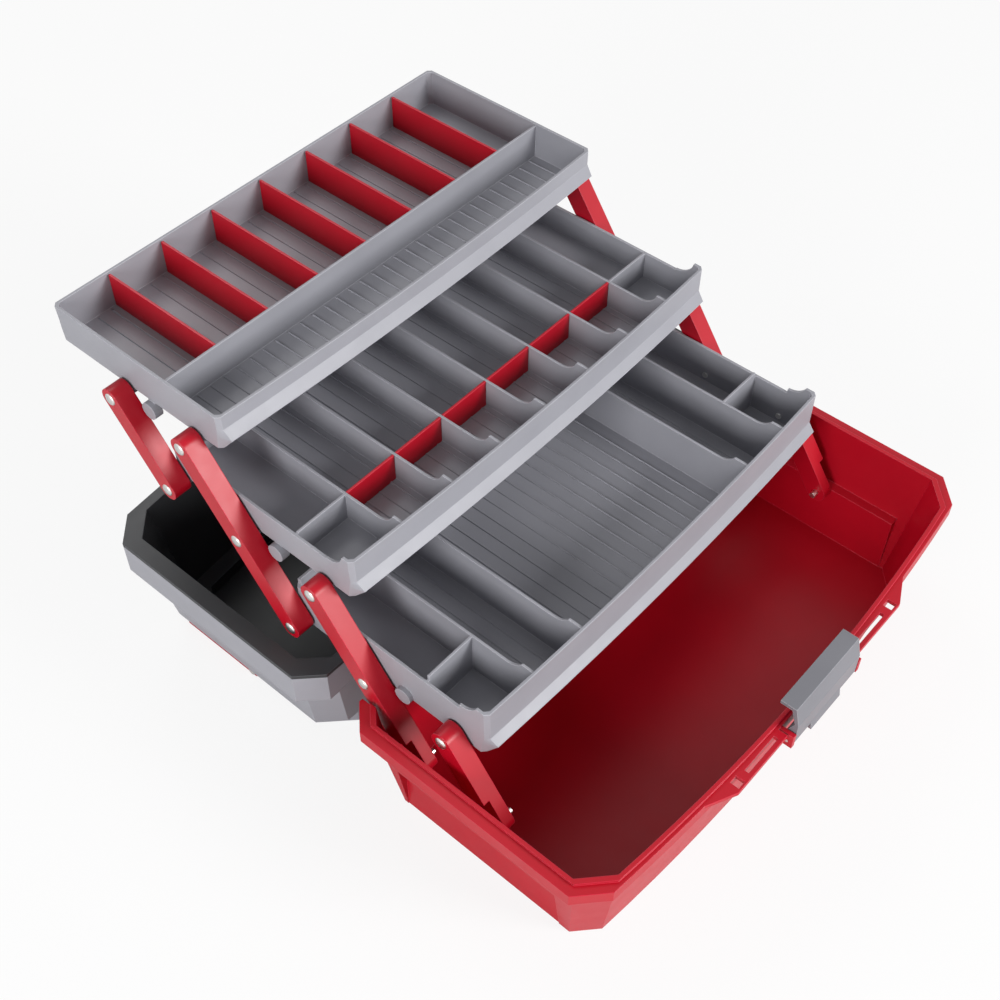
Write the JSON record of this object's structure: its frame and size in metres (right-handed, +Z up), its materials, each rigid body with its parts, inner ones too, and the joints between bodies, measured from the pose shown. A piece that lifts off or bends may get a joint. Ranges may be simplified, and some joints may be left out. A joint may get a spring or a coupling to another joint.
{
  "type": "cantilever tool box",
  "caption": "Plastic cantilever tool box standing open, its lid turned back and its divided trays spread up and back on parallel links.",
  "frame": {"origin": "middle of the base tub's underside, on the floor", "axes": "+X along the box to the right, -Y to the latch side, +Z up"},
  "size_m": [0.4, 0.4701, 0.24],
  "materials": {
    "red_plastic": "satin",
    "grey_plastic": "satin",
    "black_plastic": "satin",
    "pin_steel": "satin"
  },
  "bodies": {
    "base": {"base_tub": "red_plastic", "latch_pin": "pin_steel", "hinge_pin_left": "pin_steel", "hinge_pin_right": "pin_steel", "rivet_base_front_left": "pin_steel", "rivet_base_front_right": "pin_steel", "rivet_base_rear_left": "pin_steel", "rivet_base_rear_right": "pin_steel"},
    "latch": {"latch": "grey_plastic"},
    "lid": {"lid_shell": "grey_plastic", "lid_liner": "black_plastic", "handle_pin_left": "pin_steel", "handle_pin_right": "pin_steel"},
    "handle": {"handle": "red_plastic"},
    "tray_lower": {"tray_lower": "grey_plastic", "rivet_lower_front_left": "pin_steel", "rivet_lower_front_right": "pin_steel", "rivet_lower_middle_left": "pin_steel", "rivet_lower_middle_right": "pin_steel", "rivet_lower_rear_left": "pin_steel", "rivet_lower_rear_right": "pin_steel"},
    "tray_middle": {"tray_middle": "grey_plastic", "rivet_middle_front_left": "pin_steel", "rivet_middle_front_right": "pin_steel", "rivet_middle_middle_left": "pin_steel", "rivet_middle_middle_right": "pin_steel", "rivet_middle_rear_left": "pin_steel", "rivet_middle_rear_right": "pin_steel", "middle_divider_1": "red_plastic", "middle_divider_2": "red_plastic", "middle_divider_3": "red_plastic", "middle_divider_4": "red_plastic", "middle_divider_5": "red_plastic", "middle_divider_6": "red_plastic"},
    "tray_upper": {"tray_upper": "grey_plastic", "rivet_upper_front_left": "pin_steel", "rivet_upper_front_right": "pin_steel", "rivet_upper_middle_left": "pin_steel", "rivet_upper_middle_right": "pin_steel", "upper_divider_1": "red_plastic", "upper_divider_2": "red_plastic", "upper_divider_3": "red_plastic", "upper_divider_4": "red_plastic", "upper_divider_5": "red_plastic", "upper_divider_6": "red_plastic", "upper_divider_7": "red_plastic"},
    "arm_a_left": {"arm_a_left": "red_plastic"},
    "arm_a_right": {"arm_a_right": "red_plastic"},
    "arm_b_left": {"arm_b_left": "red_plastic"},
    "arm_b_right": {"arm_b_right": "red_plastic"},
    "arm_c_left": {"arm_c_left": "red_plastic"},
    "arm_c_right": {"arm_c_right": "red_plastic"},
    "arm_d_left": {"arm_d_left": "red_plastic"},
    "arm_d_right": {"arm_d_right": "red_plastic"}
  },
  "joints": [
    {"name": "link_b_left", "type": "hinge", "parent": "base", "child": "arm_b_left", "pos_m": [-0.17375, 0.0582, 0.0505], "axis": [1, 0, 0], "range_deg": [0, 93.55]},
    {"name": "link_b_right", "type": "hinge", "parent": "base", "child": "arm_b_right", "pos_m": [0.17375, 0.0582, 0.0505], "axis": [1, 0, 0], "range_deg": [0, 93.55]},
    {"name": "link_a_left", "type": "hinge", "parent": "base", "child": "arm_a_left", "pos_m": [-0.17375, -0.0035, 0.0505], "axis": [1, 0, 0], "range_deg": [0, 93.55]},
    {"name": "link_a_right", "type": "hinge", "parent": "base", "child": "arm_a_right", "pos_m": [0.17375, -0.0035, 0.0505], "axis": [1, 0, 0], "range_deg": [0, 93.55]},
    {"name": "lower_tray_pivot", "type": "hinge", "parent": "arm_b_left", "child": "tray_lower", "pos_m": [-0.17375, 0.09634, 0.10436], "axis": [1, 0, 0], "range_deg": [-93.55, 0]},
    {"name": "link_c_left", "type": "hinge", "parent": "tray_lower", "child": "arm_c_left", "pos_m": [-0.17375, 0.15804, 0.10436], "axis": [1, 0, 0], "range_deg": [0, 93.55]},
    {"name": "link_c_right", "type": "hinge", "parent": "tray_lower", "child": "arm_c_right", "pos_m": [0.17375, 0.15804, 0.10436], "axis": [1, 0, 0], "range_deg": [0, 93.55]},
    {"name": "middle_tray_pivot", "type": "hinge", "parent": "arm_b_left", "child": "tray_middle", "pos_m": [-0.17375, 0.1339, 0.15741], "axis": [1, 0, 0], "range_deg": [-93.55, 0]},
    {"name": "link_d_left", "type": "hinge", "parent": "tray_middle", "child": "arm_d_left", "pos_m": [-0.17375, 0.2573, 0.15741], "axis": [1, 0, 0], "range_deg": [0, 93.55]},
    {"name": "link_d_right", "type": "hinge", "parent": "tray_middle", "child": "arm_d_right", "pos_m": [0.17375, 0.2573, 0.15741], "axis": [1, 0, 0], "range_deg": [0, 93.55]},
    {"name": "upper_tray_pivot", "type": "hinge", "parent": "arm_c_left", "child": "tray_upper", "pos_m": [-0.17375, 0.23316, 0.21046], "axis": [1, 0, 0], "range_deg": [-93.55, 0]},
    {"name": "lid_hinge", "type": "hinge", "parent": "base", "child": "lid", "pos_m": [0, 0.1095, 0.094], "axis": [1, 0, 0], "range_deg": [0, 112.26]},
    {"name": "latch_hinge", "type": "hinge", "parent": "base", "child": "latch", "pos_m": [0, -0.108, 0.084], "axis": [1, 0, 0], "range_deg": [0, 80]},
    {"name": "handle_hinge", "type": "hinge", "parent": "lid", "child": "handle", "pos_m": [0, 0.213, 0.004], "axis": [-1, 0, 0], "range_deg": [0, 90]}
  ],
  "couplings": [
    {"joint": "link_b_left", "follows": "lid_hinge", "ratio": 0.83333},
    {"joint": "link_b_right", "follows": "lid_hinge", "ratio": 0.83333},
    {"joint": "link_a_left", "follows": "lid_hinge", "ratio": 0.83333},
    {"joint": "link_a_right", "follows": "lid_hinge", "ratio": 0.83333},
    {"joint": "lower_tray_pivot", "follows": "lid_hinge", "ratio": -0.83333},
    {"joint": "link_c_left", "follows": "lid_hinge", "ratio": 0.83333},
    {"joint": "link_c_right", "follows": "lid_hinge", "ratio": 0.83333},
    {"joint": "middle_tray_pivot", "follows": "lid_hinge", "ratio": -0.83333},
    {"joint": "link_d_left", "follows": "lid_hinge", "ratio": 0.83333},
    {"joint": "link_d_right", "follows": "lid_hinge", "ratio": 0.83333},
    {"joint": "upper_tray_pivot", "follows": "lid_hinge", "ratio": -0.83333}
  ]
}
